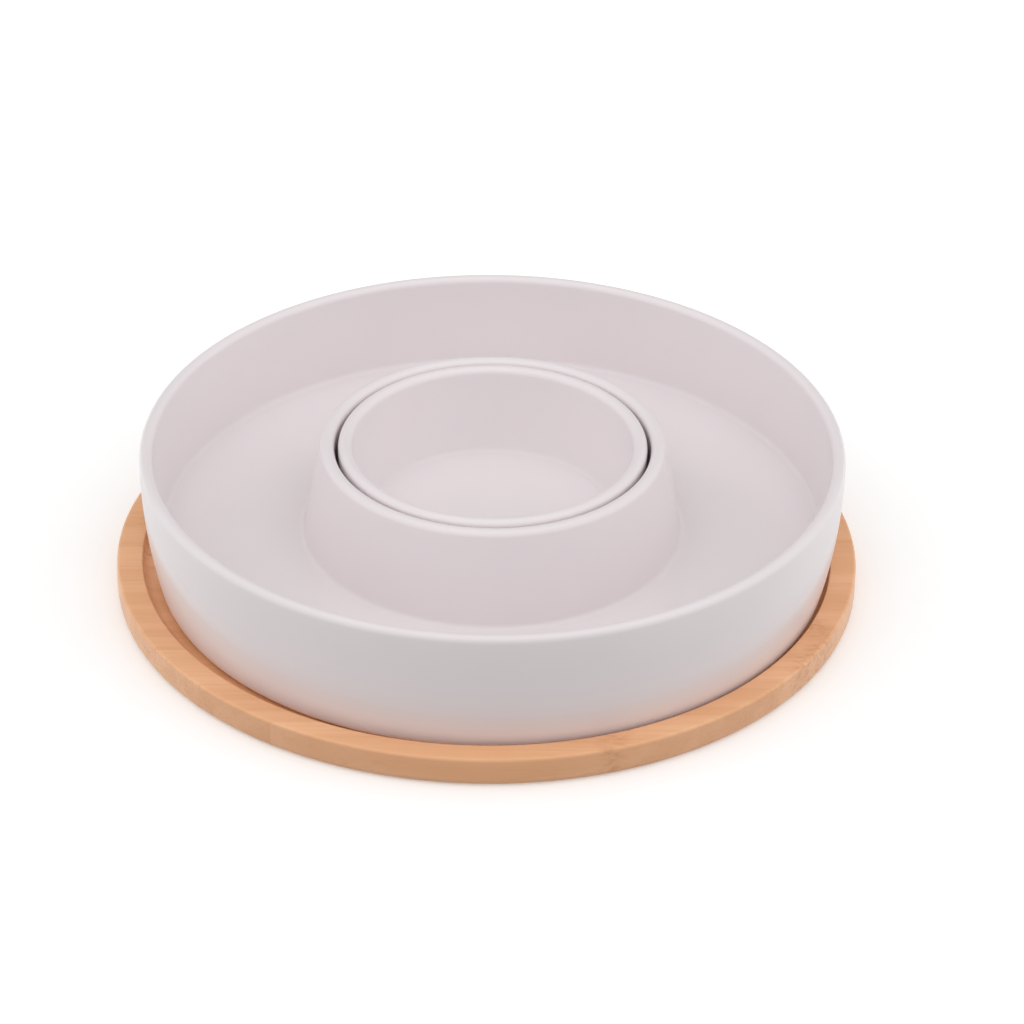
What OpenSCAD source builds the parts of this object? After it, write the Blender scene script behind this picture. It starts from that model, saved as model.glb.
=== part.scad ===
// Chip and dip server: a round porcelain dish with a trough for the chips around a raised
// centre well, a porcelain dip bowl that nests in the well, and a round bamboo tray with a
// shallow recess that holds the dish.
// The origin is the centre of the tray's underside and +Z is up.

/* [Tray] */
// Diameter of the bamboo tray
tray_d = 230; // [215:1:300]
// Thickness of the tray at its rim
tray_h = 9.5; // [8:0.5:14]
// Width of the tray's raised rim
tray_rim_w = 8; // [5.5:0.5:8.5]
// Rounding of the tray's upper edge
tray_edge_r = 1; // [0.5:0.25:3]
// Rounding of the tray's lower edge
tray_foot_r = 2.5; // [0.5:0.5:4]
// Depth of the recess that holds the dish
recess_depth = 3.5; // [3:0.5:5]
// Number of bamboo strips glued edge to edge
strip_n = 12; // [6:1:20]

/* [Dish] */
// How far the dish's lip stands in from the tray's edge
dish_setback = 6.5; // [6:0.5:12]
// How far the dish stands off the tray's centre, to the right
shift_right = 1.6; // [0:0.1:2]
// How far the dish stands off the tray's centre, to the front
shift_front = 1.3; // [0:0.1:2]
// Height of the dish's lip above the tray's underside
lip_z = 48.5; // [42:0.5:56]
// Thickness of the dish's outer wall
wall_t = 4; // [3:0.5:6]
// How far the gently bowed outer wall comes in between its lip and its base
wall_inset = 5.25; // [4.75:0.25:8]
// Rounding between the wall and the underside
base_corner_r = 2; // [1:0.5:6]
// Height of the dish's foot ring, seen from outside
foot_h = 0.5; // [0.5:0.25:3]
// Height of the hollow under the dish, inside the foot ring
under_h = 6; // [4.5:0.5:8]
// Thickness of the trough's floor
floor_t = 7; // [4:0.5:9]
// Hollow curve between the trough's floor and the outer wall
trough_cove_r = 2; // [1.5:0.5:10]

/* [Centre well] */
// Height of the top of the well's ring above the tray's underside
ring_z = 49.8; // [44:0.1:58]
// Thickness of the well's ring
ring_t = 4.7; // [3.5:0.1:7]
// How far the ring's outer face leans outwards on its way down, in degrees
ring_draft = 10; // [0:0.5:14]
// Hollow curve between the ring and the trough's floor
ring_cove_r = 2; // [1.5:0.5:8]
// Thickness of the well's floor
well_floor_t = 7; // [4:0.5:8]
// Gap between the dip bowl and the well's wall
bowl_gap = 1.1; // [0.5:0.1:2]

/* [Dip bowl] */
// Outer diameter of the dip bowl at its lip
bowl_d = 95.2; // [80:0.2:110]
// Height of the dip bowl's lip above the tray's underside
bowl_lip_z = 50; // [46:0.5:58]
// Thickness of the dip bowl's wall at its lip
bowl_wall_t = 4.3; // [3:0.1:5]
// How far the dip bowl's bowed wall comes in between its lip and its base
bowl_inset = 6.5; // [1:0.5:8]
// Thickness of the dip bowl's floor
bowl_floor_t = 3; // [2.5:0.5:6]
// Hollow curve between the dip bowl's floor and its wall
bowl_cove_r = 2; // [1.5:0.5:10]
// Rounding between the dip bowl's wall and its underside
bowl_corner_r = 5; // [3:0.5:10]
// Height of the dip bowl's foot ring
bowl_foot_h = 1; // [0.75:0.25:2.5]

/* [Hidden] */
$fn = 180;
arc_steps = 10;
porcelain = [0.88, 0.85, 0.86];
bamboo_tones = [[0.90, 0.69, 0.51], [0.87, 0.65, 0.47], [0.92, 0.72, 0.55]];

// Tray
tray_r = tray_d / 2;
recess_r = tray_r - tray_rim_w;
recess_z = tray_h - recess_depth;
recess_lip_r = 0.16 * recess_depth;
recess_cove_r = 0.8 * recess_depth;
strip_w = tray_d / strip_n;

// Dish, in heights above its own foot
dish_r = tray_r - dish_setback;
dish_h = lip_z - recess_z;
ring_h = ring_z - recess_z;
wall_h = dish_h - wall_t / 2 - foot_h;
wall_bow_r = bow_radius(wall_inset, wall_h);
trough_z = under_h + floor_t;
foot_w = 4;
foot_inset = 1;
foot_out_r = corner_axis_r(dish_r - wall_bow_r, wall_bow_r, base_corner_r, wall_h) - foot_inset;
foot_in_r = foot_out_r - foot_w;

// Centre well
bowl_r = bowl_d / 2;
well_r = bowl_r + bowl_gap;
ring_r = well_r + ring_t;
well_z = under_h + well_floor_t;
well_corner_r = 2;

// Dip bowl, in heights above its own foot
bowl_h = bowl_lip_z - recess_z - well_z;
bowl_bow_r = bow_radius(bowl_inset, bowl_h - bowl_wall_t / 2 - bowl_foot_h);
bowl_inside_z = bowl_foot_h + bowl_floor_t;
bowl_foot_w = 4;
bowl_foot_out_r = 0.68 * bowl_r;
bowl_foot_in_r = bowl_foot_out_r - bowl_foot_w;

// Name of one bamboo strip, counted from the front of the tray to the back
function strip_name(i) = str("tray_strip_", i < 10 ? "0" : "", i);

// Points along an arc, from angle a0 to angle a1
function arc(centre, r, a0, a1) = [
    for (i = [0:arc_steps])
        let (a = a0 + (a1 - a0) * i / arc_steps)
            centre + r * [cos(a), sin(a)]
];

function reverse(points) = [for (i = [len(points) - 1:-1:0]) points[i]];

// Full-round lip of a wall, from its outer face over the top to its inner face
function lip(out_r, thickness, top_z) =
    arc([out_r - thickness / 2, top_z - thickness / 2], thickness / 2, 0, 180);

// Radius of the bow that brings a wall of height drop in by inset at its base
function bow_radius(inset, drop) = (pow(drop, 2) + pow(inset, 2)) / (2 * inset);

// A bowed wall is a gentle curve of radius bow_r that turns into a corner of radius corner_r
// at its foot. Its height is drop, and bow_axis_r is how far the bow's centre lies from the
// middle. These two tell how far the wall leans where the corner starts, and how far the
// corner's centre lies from the middle.
function wall_lean(bow_r, corner_r, drop) = asin((drop - corner_r) / (bow_r - corner_r));

function corner_axis_r(bow_axis_r, bow_r, corner_r, drop) =
    bow_axis_r + (bow_r - corner_r) * cos(wall_lean(bow_r, corner_r, drop));

// A bowed wall's face from its lip down, ending level at bottom_z
function bowed_wall(bow_axis_r, bow_r, corner_r, top_z, bottom_z) =
    let (drop = top_z - bottom_z)
    let (lean = wall_lean(bow_r, corner_r, drop))
    let (axis_r = corner_axis_r(bow_axis_r, bow_r, corner_r, drop))
        concat(
            arc([bow_axis_r, top_z], bow_r, 0, -lean),
            arc([axis_r, bottom_z + corner_r], corner_r, -lean, -90)
        );

// A foot ring, from the base inside it at height in_h to the base outside it at height out_h
function foot_ring(in_r, out_r, in_h, out_h) =
    let (soft = 0.4 * out_h)
        concat(
            arc([in_r - soft, in_h - soft], soft, 90, 0),
            arc([in_r + soft, soft], soft, 180, 270),
            arc([out_r - soft, soft], soft, 270, 360),
            arc([out_r + soft, out_h - soft], soft, 180, 90)
        );

// Both faces and the lip of a bowed wall, from its underside over the lip to its floor
function wall_shell(out_r, bow_r, thickness, corner_r, cove_r, top_z, under_z, floor_z) =
    let (wall_top_z = top_z - thickness / 2)
        concat(
            reverse(bowed_wall(out_r - bow_r, bow_r, corner_r, wall_top_z, under_z)),
            lip(out_r, thickness, top_z),
            bowed_wall(out_r - bow_r, bow_r - thickness, cove_r, wall_top_z, floor_z)
        );

// Half sections, each drawn from the axis outwards below and back to the axis above
function tray_section() = concat(
    [[0, 0]],
    arc([tray_r - tray_foot_r, tray_foot_r], tray_foot_r, 270, 360),
    arc([tray_r - tray_edge_r, tray_h - tray_edge_r], tray_edge_r, 0, 90),
    arc([recess_r + recess_lip_r, tray_h - recess_lip_r], recess_lip_r, 90, 180),
    arc([recess_r - recess_cove_r, recess_z + recess_cove_r], recess_cove_r, 0, -90),
    [[0, recess_z]]
);

// The ring's outer face is the straight line that touches both its lip and its hollow curve
function ring_section() =
    let (lip_centre = [ring_r - ring_t / 2, ring_h - ring_t / 2])
    let (cove_z = trough_z + ring_cove_r)
    let (reach = ring_cove_r + ring_t / 2 + (lip_centre.y - cove_z) * sin(ring_draft))
    let (cove_axis_r = lip_centre.x + reach / cos(ring_draft))
        concat(
            arc([cove_axis_r, cove_z], ring_cove_r, 270, 180 + ring_draft),
            arc(lip_centre, ring_t / 2, ring_draft, 180),
            arc([well_r - well_corner_r, well_z + well_corner_r], well_corner_r, 0, -90),
            [[0, well_z]]
        );

function dish_section() = concat(
    [[0, under_h]],
    foot_ring(foot_in_r, foot_out_r, under_h, foot_h),
    wall_shell(dish_r, wall_bow_r, wall_t, base_corner_r, trough_cove_r, dish_h, foot_h, trough_z),
    ring_section()
);

function bowl_section() = concat(
    [[0, bowl_foot_h]],
    foot_ring(bowl_foot_in_r, bowl_foot_out_r, bowl_foot_h, bowl_foot_h),
    wall_shell(bowl_r, bowl_bow_r, bowl_wall_t, bowl_corner_r, bowl_cove_r, bowl_h, bowl_foot_h,
        bowl_inside_z),
    [[0, bowl_inside_z]]
);

// One strip of the glued board, turned to the tray's shape
module tray_strip(i) {
    color(bamboo_tones[i % len(bamboo_tones)])
        intersection() {
            rotate_extrude()
                polygon(tray_section());
            translate([-tray_r - 1, (i - 1) * strip_w - tray_r, -1])
                cube([tray_d + 2, strip_w, tray_h + 2]);
        }
}

// The dish: the trough, the raised centre well and the foot ring in one casting
module dish() {
    color(porcelain)
        translate([shift_right, -shift_front, recess_z])
            rotate_extrude()
                polygon(dish_section());
}

// The dip bowl, standing on the floor of the well
module dip_bowl() {
    color(porcelain)
        translate([shift_right, -shift_front, recess_z + well_z])
            rotate_extrude()
                polygon(bowl_section());
}

dip_bowl();
dish();
for (i = [1:strip_n])
    tray_strip(i);
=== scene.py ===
"""The looks of the chip and dip server: glazed porcelain on a tray of lacquered bamboo strips."""

import math

import bmesh
import bpy
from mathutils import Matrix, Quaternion, Vector


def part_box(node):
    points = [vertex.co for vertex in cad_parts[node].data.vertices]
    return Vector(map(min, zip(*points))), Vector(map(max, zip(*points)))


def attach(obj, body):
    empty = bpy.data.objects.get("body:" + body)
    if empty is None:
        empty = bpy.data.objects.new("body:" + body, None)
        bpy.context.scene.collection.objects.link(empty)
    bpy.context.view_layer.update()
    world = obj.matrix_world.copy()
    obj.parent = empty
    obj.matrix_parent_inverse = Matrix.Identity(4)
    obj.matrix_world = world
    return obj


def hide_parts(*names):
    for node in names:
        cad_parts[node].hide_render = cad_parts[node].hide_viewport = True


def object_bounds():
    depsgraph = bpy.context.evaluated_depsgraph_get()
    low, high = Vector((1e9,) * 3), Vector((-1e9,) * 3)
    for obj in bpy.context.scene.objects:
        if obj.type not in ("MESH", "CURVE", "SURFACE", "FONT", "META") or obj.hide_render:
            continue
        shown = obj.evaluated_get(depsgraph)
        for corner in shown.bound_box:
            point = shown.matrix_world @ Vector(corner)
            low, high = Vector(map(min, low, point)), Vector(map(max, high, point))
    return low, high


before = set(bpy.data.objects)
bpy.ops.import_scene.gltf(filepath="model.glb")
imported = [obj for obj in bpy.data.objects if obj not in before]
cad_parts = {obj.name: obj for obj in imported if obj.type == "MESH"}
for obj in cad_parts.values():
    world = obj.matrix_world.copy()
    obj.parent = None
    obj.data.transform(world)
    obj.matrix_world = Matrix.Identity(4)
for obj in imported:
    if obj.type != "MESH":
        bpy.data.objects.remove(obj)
cad_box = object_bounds()

MM = 0.001
STRIPS = sorted(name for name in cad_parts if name.startswith("tray_strip_"))

# The tray's sizes, in metres. The frame gives the places and the outer sizes.
TRAY_RADIUS = (cad_box[1].x - cad_box[0].x) / 2
TRAY_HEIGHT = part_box(STRIPS[0])[1].z
TRAY_EDGE = 1 * MM
TRAY_FOOT_EDGE = 2.5 * MM
TRAY_RIM = 8 * MM
RECESS_RADIUS = TRAY_RADIUS - TRAY_RIM
RECESS_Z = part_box("dish")[0].z
RECESS_LIP = 0.16 * (TRAY_HEIGHT - RECESS_Z)
RECESS_COVE = 0.8 * (TRAY_HEIGHT - RECESS_Z)


def middle(node):
    """The point on a round CAD node's axis at its lowest level."""
    low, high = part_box(node)
    return Vector(((low.x + high.x) / 2, (low.y + high.y) / 2, low.z))


def node_radius(node):
    """Half the width of a round CAD node."""
    low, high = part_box(node)
    return (high.x - low.x) / 2


def node_height(node):
    """How tall a CAD node is."""
    low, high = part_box(node)
    return high.z - low.z


# ---------------------------------------------------------------- outlines

STEP = 1.6 * MM  # longest stretch between two points of an outline
ARC_TURN = 9.0  # most degrees between two points of an arc


def arc(centre_r, centre_z, radius, start, end):
    """Points (r, z) along an arc between two angles in degrees."""
    length = abs(math.radians(end - start)) * radius
    count = max(2, math.ceil(abs(end - start) / ARC_TURN), math.ceil(length / STEP))
    turns = [math.radians(start + (end - start) * i / count) for i in range(count + 1)]
    return [(centre_r + radius * math.cos(a), centre_z + radius * math.sin(a)) for a in turns]


def lip(outer_radius, thickness, top_z):
    """The full-round lip of a wall, from its outer face over the top to its inner face."""
    return arc(outer_radius - thickness / 2, top_z - thickness / 2, thickness / 2, 0, 180)


def wall_bow(inset, drop):
    """Radius of the bow that brings a wall of that height in by inset at its base."""
    return (drop**2 + inset**2) / (2 * inset)


def wall_lean(bow, corner, drop):
    """How far a bowed wall of that height leans where its corner starts, in radians."""
    return math.asin((drop - corner) / (bow - corner))


def corner_axis(bow_axis, bow, corner, drop):
    """How far out the centre of a bowed wall's corner lies."""
    return bow_axis + (bow - corner) * math.cos(wall_lean(bow, corner, drop))


def bowed_wall(bow_axis, bow, corner, top_z, bottom_z):
    """A wall's face from its lip down: a gentle bow that turns into a tight corner."""
    drop = top_z - bottom_z
    down = -math.degrees(wall_lean(bow, corner, drop))
    upper = arc(bow_axis, top_z, bow, 0, down)
    lower = arc(corner_axis(bow_axis, bow, corner, drop), bottom_z + corner, corner, down, -90)
    return upper + lower


def foot_ring(inner_radius, outer_radius, inside_z, outside_z):
    """A foot ring, from the base inside it to the base outside it."""
    soft = 0.4 * outside_z
    return (
        arc(inner_radius - soft, inside_z - soft, soft, 90, 0)
        + arc(inner_radius + soft, soft, soft, 180, 270)
        + arc(outer_radius - soft, soft, soft, 270, 360)
        + arc(outer_radius + soft, outside_z - soft, soft, 180, 90)
    )


def wall_shell(outer_radius, bow, thickness, corner, cove, top_z, under_z, floor_z):
    """Both faces and the lip of a bowed wall, from its underside over the lip to its floor."""
    wall_top = top_z - thickness / 2
    bow_axis = outer_radius - bow
    outside = bowed_wall(bow_axis, bow, corner, wall_top, under_z)
    inside = bowed_wall(bow_axis, bow - thickness, cove, wall_top, floor_z)
    return outside[::-1] + lip(outer_radius, thickness, top_z) + inside


def tray_outline():
    return (
        [(0, 0)]
        + arc(TRAY_RADIUS - TRAY_FOOT_EDGE, TRAY_FOOT_EDGE, TRAY_FOOT_EDGE, 270, 360)
        + arc(TRAY_RADIUS - TRAY_EDGE, TRAY_HEIGHT - TRAY_EDGE, TRAY_EDGE, 0, 90)
        + arc(RECESS_RADIUS + RECESS_LIP, TRAY_HEIGHT - RECESS_LIP, RECESS_LIP, 90, 180)
        + arc(RECESS_RADIUS - RECESS_COVE, RECESS_Z + RECESS_COVE, RECESS_COVE, 0, -90)
        + [(0, RECESS_Z)]
    )


BOWL_RADIUS = node_radius("dip_bowl")
BOWL_HEIGHT = node_height("dip_bowl")
BOWL_FOOT = 1 * MM
BOWL_FOOT_RADIUS = 0.68 * BOWL_RADIUS
BOWL_FOOT_WIDTH = 4 * MM
BOWL_WALL = 4.3 * MM
BOWL_INSET = 6.5 * MM
BOWL_BOW = wall_bow(BOWL_INSET, BOWL_HEIGHT - BOWL_WALL / 2 - BOWL_FOOT)
BOWL_FLOOR = 3 * MM
BOWL_FLOOR_Z = BOWL_FOOT + BOWL_FLOOR


def bowl_outline():
    """The dip bowl's half section, in heights above its own foot."""
    foot_inside = BOWL_FOOT_RADIUS - BOWL_FOOT_WIDTH
    return (
        [(0, BOWL_FOOT)]
        + foot_ring(foot_inside, BOWL_FOOT_RADIUS, BOWL_FOOT, BOWL_FOOT)
        + wall_shell(
            outer_radius=BOWL_RADIUS,
            bow=BOWL_BOW,
            thickness=BOWL_WALL,
            corner=5 * MM,
            cove=2 * MM,
            top_z=BOWL_HEIGHT,
            under_z=BOWL_FOOT,
            floor_z=BOWL_FLOOR_Z,
        )
        + [(0, BOWL_FLOOR_Z)]
    )


DISH_RADIUS = node_radius("dish")
LIP_Z = 48.5 * MM
DISH_HEIGHT = LIP_Z - RECESS_Z
DISH_FOOT = 0.5 * MM
DISH_FOOT_WIDTH = 4 * MM
DISH_FOOT_INSET = 1 * MM
DISH_UNDER_Z = 6 * MM
TROUGH_FLOOR = 7 * MM
TROUGH_Z = DISH_UNDER_Z + TROUGH_FLOOR
WALL = 4 * MM
WALL_CORNER = 2 * MM
WALL_INSET = 5.25 * MM
WALL_DROP = DISH_HEIGHT - WALL / 2 - DISH_FOOT
WALL_BOW = wall_bow(WALL_INSET, WALL_DROP)
RING_HEIGHT = node_height("dish")
RING_THICKNESS = 4.7 * MM
RING_DRAFT = 10.0
RING_COVE = 2 * MM
BOWL_GAP = 1.1 * MM
WELL_RADIUS = BOWL_RADIUS + BOWL_GAP
WELL_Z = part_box("dip_bowl")[0].z - RECESS_Z
WELL_CORNER = 2 * MM


def ring_outline():
    """The raised ring, from the trough's floor over its lip to the well's floor.

    Its outer face is the straight line that touches both its lip and its hollow curve.
    """
    half = RING_THICKNESS / 2
    lip_radius = WELL_RADIUS + half
    lip_z = RING_HEIGHT - half
    cove_z = TROUGH_Z + RING_COVE
    lean = math.radians(RING_DRAFT)
    reach = RING_COVE + half + (lip_z - cove_z) * math.sin(lean)
    cove_axis = lip_radius + reach / math.cos(lean)
    return (
        arc(cove_axis, cove_z, RING_COVE, 270, 180 + RING_DRAFT)
        + arc(lip_radius, lip_z, half, RING_DRAFT, 180)
        + arc(WELL_RADIUS - WELL_CORNER, WELL_Z + WELL_CORNER, WELL_CORNER, 0, -90)
        + [(0, WELL_Z)]
    )


def dish_outline():
    """The dish's half section, in heights above its own foot."""
    base_radius = corner_axis(DISH_RADIUS - WALL_BOW, WALL_BOW, WALL_CORNER, WALL_DROP)
    foot_radius = base_radius - DISH_FOOT_INSET
    return (
        [(0, DISH_UNDER_Z)]
        + foot_ring(foot_radius - DISH_FOOT_WIDTH, foot_radius, DISH_UNDER_Z, DISH_FOOT)
        + wall_shell(
            outer_radius=DISH_RADIUS,
            bow=WALL_BOW,
            thickness=WALL,
            corner=WALL_CORNER,
            cove=2 * MM,
            top_z=DISH_HEIGHT,
            under_z=DISH_FOOT,
            floor_z=TROUGH_Z,
        )
        + ring_outline()
    )


# ---------------------------------------------------------------- meshes

SEGMENTS = 288  # stretches around a turned piece
SAME_POINT = 1e-7  # points closer than this, in metres, are one
CREASE = math.radians(35)  # edges that turn by more than this are sharp


def fill_gaps(outline):
    """The outline with its long straight stretches divided and its doubled points dropped."""
    points = [outline[0]]
    for end in outline[1:]:
        start = points[-1]
        gap = math.dist(start, end)
        if gap < SAME_POINT:
            continue
        count = math.ceil(gap / (2 * STEP))
        for i in range(1, count + 1):
            share = i / count
            points.append(tuple(a + (b - a) * share for a, b in zip(start, end)))
    return points


def turned(outline, centre):
    """A bmesh turned from a half section that starts and ends on the axis."""
    points = fill_gaps(outline)
    mesh = bmesh.new()
    angles = [2 * math.pi * i / SEGMENTS for i in range(SEGMENTS)]
    rings = []
    for r, z in points[1:-1]:
        ring = [
            mesh.verts.new((centre.x + r * math.cos(a), centre.y + r * math.sin(a), centre.z + z))
            for a in angles
        ]
        rings.append(ring)
    poles = [mesh.verts.new((centre.x, centre.y, centre.z + points[i][1])) for i in (0, -1)]
    for i in range(SEGMENTS):
        j = (i + 1) % SEGMENTS
        mesh.faces.new((poles[0], rings[0][j], rings[0][i]))
        mesh.faces.new((poles[1], rings[-1][i], rings[-1][j]))
        for low, high in zip(rings, rings[1:]):
            mesh.faces.new((low[i], low[j], high[j], high[i]))
    for face in mesh.faces:
        face.smooth = True
    return mesh


def as_object(name, mesh, *materials):
    """A scene object made from a bmesh, which is freed."""
    data = bpy.data.meshes.new(name)
    mesh.to_mesh(data)
    mesh.free()
    for material in materials:
        data.materials.append(material)
    made = bpy.data.objects.new(name, data)
    bpy.context.scene.collection.objects.link(made)
    return made


# ---------------------------------------------------------------- materials


def srgb(red, green, blue):
    """A colour from its 8-bit display values, as linear RGBA."""
    def linear(value):
        share = value / 255
        return share / 12.92 if share <= 0.04045 else ((share + 0.055) / 1.055) ** 2.4

    return (linear(red), linear(green), linear(blue), 1.0)


GLAZE = srgb(241, 233, 235)
GLAZE_CLOUD = srgb(239, 231, 233)
GLAZE_SPECK = srgb(176, 162, 156)
BISQUE_PALE = srgb(226, 214, 203)
BISQUE_DEEP = srgb(206, 190, 176)

# The bamboo's pale and deep bands, each from the palest strip's to the deepest strip's.
BAMBOO_PALE = (srgb(252, 195, 148), srgb(248, 189, 141))
BAMBOO_DEEP = (srgb(245, 185, 136), srgb(239, 177, 128))
BAMBOO_STREAK = srgb(208, 150, 105)
BAMBOO_HAIR = srgb(182, 122, 80)
# painted shade on the board's sides that face front and back
BAMBOO_SIDE_SHADE = srgb(212, 152, 110)
BAMBOO_PORE = srgb(170, 112, 72)
BAMBOO_KNOT = srgb(202, 132, 84)

FLOOR_PALE = srgb(250, 250, 250)
FLOOR_GRAIN = srgb(247, 247, 247)


class Nodes:
    """Short calls that add nodes to a node tree."""

    def __init__(self, tree):
        self.tree = tree

    def plug(self, socket, value):
        if isinstance(value, bpy.types.NodeSocket):
            self.tree.links.new(value, socket)
        else:
            socket.default_value = value

    def add(self, kind, output, settings=(), **inputs):
        """A node's output socket. settings are its properties, and inputs its sockets."""
        node = self.tree.nodes.new("ShaderNode" + kind)
        for name, value in dict(settings).items():
            setattr(node, name, value)
        for name, value in inputs.items():
            self.plug(node.inputs[name.replace("_", " ")], value)
        return node.outputs[output]

    def math(self, operation, *values):
        node = self.tree.nodes.new("ShaderNodeMath")
        node.operation = operation
        for socket, value in zip(node.inputs, values):
            self.plug(socket, value)
        return node.outputs[0]

    def stretch(self, vector, scale, shift=(0, 0, 0)):
        """The vector moved, then scaled, so that features run along its small axes."""
        moved = self.add("VectorMath", 0, {"operation": "ADD"})
        self.plug(moved.node.inputs[0], vector)
        self.plug(moved.node.inputs[1], shift)
        scaled = self.add("VectorMath", 0, {"operation": "MULTIPLY"})
        self.plug(scaled.node.inputs[0], moved)
        self.plug(scaled.node.inputs[1], scale)
        return scaled

    def noise(self, vector, scale=1.0, detail=2, roughness=0.5):
        return self.add(
            "TexNoise", 0, Vector=vector, Scale=scale, Detail=detail, Roughness=roughness
        )

    def ramp(self, value, low, high, to_low=0.0, to_high=1.0):
        """The value's run from low to high, mapped smoothly to one from to_low to to_high."""
        node = self.tree.nodes.new("ShaderNodeMapRange")
        node.interpolation_type = "SMOOTHSTEP"
        for name, number in (
            ("From Min", low),
            ("From Max", high),
            ("To Min", to_low),
            ("To Max", to_high),
        ):
            node.inputs[name].default_value = number
        self.plug(node.inputs["Value"], value)
        return node.outputs[0]

    def mix(self, factor, first, second):
        """The first colour where the factor is 0, and the second where it is 1."""
        node = self.tree.nodes.new("ShaderNodeMix")
        node.data_type = "RGBA"
        colours = [socket for socket in node.inputs if socket.type == "RGBA"]
        self.plug(node.inputs[0], factor)
        self.plug(colours[0], first)
        self.plug(colours[1], second)
        return next(socket for socket in node.outputs if socket.type == "RGBA")


class Shader(Nodes):
    """A material with a Principled shader."""

    def __init__(self, name):
        self.material = bpy.data.materials.new(name)
        self.material.use_nodes = True
        super().__init__(self.material.node_tree)
        self.surface = self.tree.nodes["Principled BSDF"]

    def set(self, **values):
        """Sets the Principled shader's own sockets, named with _ for a space."""
        for name, value in values.items():
            self.plug(self.surface.inputs[name.replace("_", " ")], value)

    def place(self):
        return self.add("TexCoord", "Object")

    def bump(self, height, distance):
        """Bump of that height in metres, for a height value from 0 to 1."""
        return self.add("Bump", 0, Height=height, Distance=distance, Strength=1.0)


GLAZE_RIPPLE = 0.02 * MM
BISQUE_GRIT = 0.06 * MM
BAMBOO_GRAIN = 0.03 * MM


def porcelain():
    """White glazed porcelain with a faintly uneven glaze."""
    shader = Shader("porcelain")
    place = shader.place()
    cloud = shader.noise(place, scale=22, detail=2)
    tint = shader.ramp(cloud, 0.3, 0.7)
    colour = shader.mix(tint, GLAZE, GLAZE_CLOUD)
    cells = shader.add("TexVoronoi", "Distance", Vector=place, Scale=90)
    speck = shader.ramp(cells, 0.02, 0.05, 0.07, 0.0)
    colour = shader.mix(speck, colour, GLAZE_SPECK)
    ripple = shader.noise(place, scale=45, detail=1, roughness=0.3)
    shader.set(
        Base_Color=colour,
        Roughness=shader.ramp(cloud, 0.3, 0.7, 0.30, 0.34),
        IOR=1.5,
        Coat_Weight=0.35,
        Coat_Roughness=0.14,
        Coat_IOR=1.5,
        Normal=shader.bump(ripple, GLAZE_RIPPLE),
    )
    return shader.material


def bisque():
    """The unglazed porcelain of a foot ring, dry and slightly gritty."""
    shader = Shader("bisque")
    place = shader.place()
    grit = shader.noise(place, scale=1800, detail=3)
    shade = shader.noise(place, scale=90, detail=2)
    shader.set(
        Base_Color=shader.mix(shade, BISQUE_PALE, BISQUE_DEEP),
        Roughness=shader.ramp(grit, 0.3, 0.7, 0.78, 0.92),
        Normal=shader.bump(grit, BISQUE_GRIT),
    )
    return shader.material


# Where a knot crosses each strip, in mm from the tray's middle, front strip first.
KNOTS = (38, -46, 96, 101, -78, 12, -104, 63, -22, 84, -60, 27)
KNOT_CORE = 1 * MM  # half the width of a knot's full tone
KNOT_REACH = 6 * MM  # half the width over which it fades out
KNOT_WANDER = 6 * MM  # how far its line wanders along the strip


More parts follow.
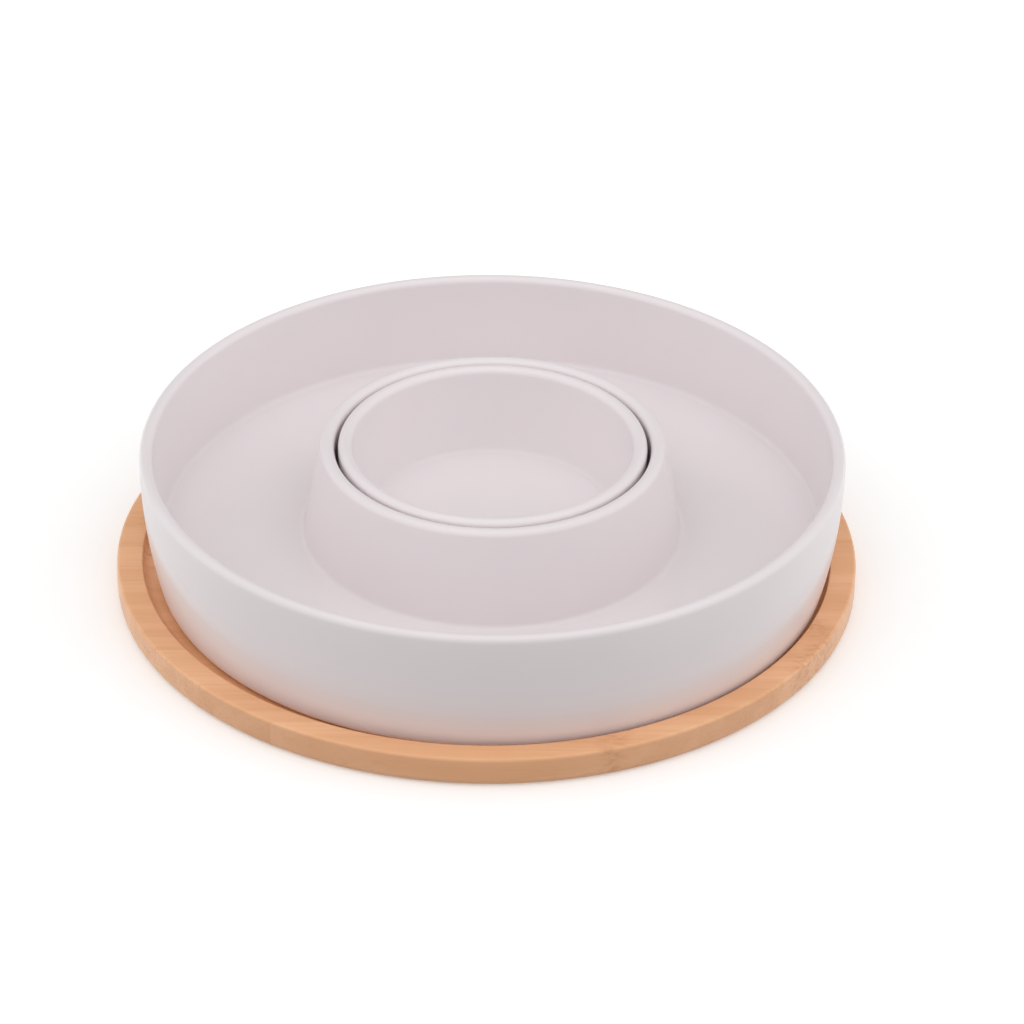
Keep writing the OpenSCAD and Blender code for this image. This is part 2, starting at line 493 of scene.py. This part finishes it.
def bamboo(index):
    """Lacquered bamboo with its grain along X, different in each strip.

    The noises are stretched by features a metre along X, Y and Z.
    """
    shader = Shader(f"bamboo_{index + 1:02d}")
    place = shader.place()
    shift = (0.37 * index, 0.11 * index, 0.05 * index)

    # Soft bands and fine fibres run along the strip, and each strip has its own tone.
    tone = (index * 0.618) % 1.0
    bands = shader.noise(shader.stretch(place, (5, 130, 130), shift), detail=2)
    fibres = shader.noise(shader.stretch(place, (22, 900, 900), shift), detail=2, roughness=0.5)
    strands = shader.noise(shader.stretch(place, (45, 2400, 2400), shift), detail=1)
    light = shader.mix(tone, *BAMBOO_PALE)
    dark = shader.mix(tone, *BAMBOO_DEEP)
    colour = shader.mix(shader.ramp(bands, 0.35, 0.65), light, dark)
    streak = shader.ramp(fibres, 0.5, 0.75, 0.0, 0.22)
    colour = shader.mix(streak, colour, BAMBOO_STREAK)
    hair = shader.ramp(strands, 0.60, 0.78, 0.0, 0.16)
    colour = shader.mix(hair, colour, BAMBOO_HAIR)

    # Painted shade: the board's sides that face front and back are darkened where less light
    # falls on them.
    normal = shader.add("TexCoord", "Normal")
    along = shader.math("ABSOLUTE", shader.add("SeparateXYZ", "Y", Vector=normal))
    side = shader.ramp(along, 0.35, 0.85, 0.0, 0.4)
    colour = shader.mix(side, colour, BAMBOO_SIDE_SHADE)

    # Across the strip's cut ends the fibres show as dots.
    facing = shader.add("SeparateXYZ", "X", Vector=normal)
    end_grain = shader.ramp(shader.math("ABSOLUTE", facing), 0.45, 0.85)
    dots = shader.add(
        "TexVoronoi", "Distance", Vector=shader.stretch(place, (90, 1500, 1500), shift), Scale=1.0
    )
    dot = shader.ramp(dots, 0.16, 0.34, 0.32, 0.0)
    colour = shader.mix(shader.math("MULTIPLY", dot, end_grain), colour, BAMBOO_PORE)

    # The knot is a soft darker band of short blotches.
    wave = shader.noise(shader.stretch(place, (40, 160, 160), shift), detail=1)
    x = shader.add("SeparateXYZ", "X", Vector=place)
    off = shader.math("SUBTRACT", x, KNOTS[index] * MM)
    off = shader.math("MULTIPLY_ADD", shader.math("SUBTRACT", wave, 0.5), KNOT_WANDER, off)
    band = shader.ramp(shader.math("ABSOLUTE", off), KNOT_CORE, KNOT_REACH, 1.0, 0.0)
    blotches = shader.noise(shader.stretch(place, (260, 620, 620), shift), detail=2)
    blotch = shader.ramp(blotches, 0.42, 0.66, 0.10, 0.46)
    colour = shader.mix(shader.math("MULTIPLY", band, blotch), colour, BAMBOO_KNOT)

    height = shader.math("MULTIPLY_ADD", strands, 0.4, fibres)
    shader.set(
        Base_Color=colour,
        Roughness=shader.ramp(fibres, 0.3, 0.7, 0.40, 0.50),
        IOR=1.5,
        Coat_Weight=0.3,
        Coat_Roughness=0.25,
        Normal=shader.bump(height, BAMBOO_GRAIN),
    )
    return shader.material


FLOOR_GLOW_NEAR = 0.20  # the floor's own glow around the object
FLOOR_GLOW_FAR = 0.36  # and farther out
FLOOR_NEAR = 0.11  # how far from the middle the one ends
FLOOR_FAR = 0.30  # and where the other starts


def pale_floor():
    """The plain pale surface that the object stands on, a little brighter farther out."""
    shader = Shader("pale_floor")
    place = shader.place()
    grain = shader.noise(place, scale=40, detail=2)
    far = shader.add("VectorMath", "Value", {"operation": "LENGTH"})
    shader.plug(far.node.inputs[0], place)
    glow = shader.ramp(far, FLOOR_NEAR, FLOOR_FAR, FLOOR_GLOW_NEAR, FLOOR_GLOW_FAR)
    shader.set(
        Base_Color=shader.mix(grain, FLOOR_PALE, FLOOR_GRAIN),
        Roughness=0.7,
        Specular_IOR_Level=0.2,
        Emission_Color=(1.0, 1.0, 1.0, 1.0),
        Emission_Strength=glow,
    )
    return shader.material


# ---------------------------------------------------------------- pieces


BARE_SHARE = 0.35  # how much of a foot ring's height has no glaze


def porcelain_piece(name, node, body, outline, foot_height, glaze, foot):
    """A turned porcelain piece that stands for its CAD node, with a bare foot ring.

    Its first material is the glaze, and its second the bare foot's.
    """
    centre = middle(node)
    mesh = turned(outline, centre)
    bare = centre.z + BARE_SHARE * foot_height
    for face in mesh.faces:
        face.material_index = int(face.calc_center_median().z < bare)
    piece = as_object(name, mesh, glaze, foot)
    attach(piece, body)
    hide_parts(node)


SEAM_EASE = 0.14 * MM  # how far each strip's glued edges are eased
GLUE_LINE = 0.015 * MM  # half the thickness of the glue between two strips


def cut_flat(mesh, y, keep_above):
    """Cuts the mesh at that y, keeps one side and closes the cut."""
    side = 1 if keep_above else -1
    whole = list(mesh.verts) + list(mesh.edges) + list(mesh.faces)
    cut = bmesh.ops.bisect_plane(
        mesh,
        geom=whole,
        plane_co=(0, y, 0),
        plane_no=(0, -side, 0),
        clear_outer=True,
    )
    rim = [item for item in cut["geom_cut"] if isinstance(item, bmesh.types.BMEdge)]
    bmesh.ops.contextual_create(mesh, geom=rim)


def strip_piece(index, node, board):
    """One bamboo strip of the turned board, cut to the place of its CAD node."""
    low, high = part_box(node)
    mesh = board.copy()
    if index > 0:
        cut_flat(mesh, low.y + GLUE_LINE, keep_above=True)
    if index < len(STRIPS) - 1:
        cut_flat(mesh, high.y - GLUE_LINE, keep_above=False)
    mesh.normal_update()
    for edge in mesh.edges:
        edge.smooth = len(edge.link_faces) == 2 and edge.calc_face_angle() < CREASE
    piece = as_object(f"bamboo_strip_{index + 1:02d}", mesh, bamboo(index))
    ease = piece.modifiers.new("eased_seam", "BEVEL")
    ease.width = SEAM_EASE
    ease.segments = 2
    ease.limit_method = "ANGLE"
    ease.angle_limit = CREASE
    ease.harden_normals = True
    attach(piece, "tray")
    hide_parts(node)


def make_tray():
    board = turned(tray_outline(), Vector((0, 0, 0)))
    for index, node in enumerate(STRIPS):
        strip_piece(index, node, board)
    board.free()


def make_porcelain():
    glaze = porcelain()
    foot = bisque()
    porcelain_piece("porcelain_dish", "dish", "dish", dish_outline(), DISH_FOOT, glaze, foot)
    porcelain_piece(
        "porcelain_dip_bowl", "dip_bowl", "dip_bowl", bowl_outline(), BOWL_FOOT, glaze, foot
    )


# ---------------------------------------------------------------- stage, lights and camera

ROOM_BASE = 0.10  # how bright the room is all over
ROOM_SIDES = 1.02  # and how much brighter at the left and the right
ROOM_BACK = 0.33  # and at the back
ROOM_KEY = 1.03  # and in the direction of the soft key light
KEY_DIRECTION = (0, -0.45, 0.89)
GLOW_TIGHTNESS = 2.0  # how fast each part of the room fades out around its middle
OVERHEAD_HEIGHT = 1.3
OVERHEAD_SIZE = (1.3, 1.0)
OVERHEAD_POWER = 1.0
FLOOR_HALF_WIDTH = 6

# The camera stands in front of the object's middle, and its aim sets the framing.
VIEW_DISTANCE = 1.5
VIEW_ELEVATION = math.radians(31.89)
VIEW_ROLL = math.radians(0.64)
VIEW_CENTRE = Vector((0, 0, 0.025))
VIEW_AIM = Vector((0.00776, -0.0008, 0.0238))
LENS = 170.0


def make_camera():
    lens = bpy.data.cameras.new("camera")
    lens.lens = LENS
    lens.sensor_width = 36
    lens.clip_start = 0.05
    lens.clip_end = 20
    camera = bpy.data.objects.new("camera", lens)
    bpy.context.scene.collection.objects.link(camera)
    back = Vector((0, -math.cos(VIEW_ELEVATION), math.sin(VIEW_ELEVATION)))
    camera.location = VIEW_CENTRE + back * VIEW_DISTANCE
    look = (VIEW_AIM - camera.location).to_track_quat("-Z", "Y")
    camera.rotation_mode = "QUATERNION"
    camera.rotation_quaternion = look @ Quaternion((0, 0, 1), VIEW_ROLL)
    bpy.context.scene.camera = camera


def overhead_light():
    """A large soft light that faces straight down."""
    light = bpy.data.lights.new("overhead", "AREA")
    light.shape = "RECTANGLE"
    light.size, light.size_y = OVERHEAD_SIZE
    light.energy = OVERHEAD_POWER
    lamp = bpy.data.objects.new("overhead", light)
    lamp.location = (0, 0, OVERHEAD_HEIGHT)
    bpy.context.scene.collection.objects.link(lamp)


def studio_world():
    """A white room that is brighter at the sides and the back, and above in front."""
    world = bpy.data.worlds.new("studio")
    world.use_nodes = True
    room = Nodes(world.node_tree)
    direction = room.add("TexCoord", "Generated")
    strength = ROOM_BASE
    for toward, share in (
        ((1, 0, 0), ROOM_SIDES),
        ((-1, 0, 0), ROOM_SIDES),
        ((0, 1, 0), ROOM_BACK),
        (KEY_DIRECTION, ROOM_KEY),
    ):
        along = room.add("VectorMath", "Value", {"operation": "DOT_PRODUCT"})
        room.plug(along.node.inputs[0], direction)
        room.plug(along.node.inputs[1], Vector(toward).normalized())
        glow = room.math("POWER", room.math("MAXIMUM", along, 0.0), GLOW_TIGHTNESS)
        strength = room.math("MULTIPLY_ADD", glow, share, strength)
    sky = room.tree.nodes["Background"]
    room.plug(sky.inputs["Color"], (1.0, 1.0, 1.0, 1.0))
    room.plug(sky.inputs["Strength"], strength)
    return world


def make_stage():
    mesh = bmesh.new()
    bmesh.ops.create_grid(mesh, x_segments=8, y_segments=8, size=FLOOR_HALF_WIDTH)
    floor = as_object("floor", mesh, pale_floor())
    floor.visible_diffuse = False  # the floor throws no soft light up onto the object
    scene = bpy.context.scene
    scene.world = studio_world()
    scene.view_settings.view_transform = "Standard"
    overhead_light()


make_tray()
make_porcelain()
make_stage()
make_camera()
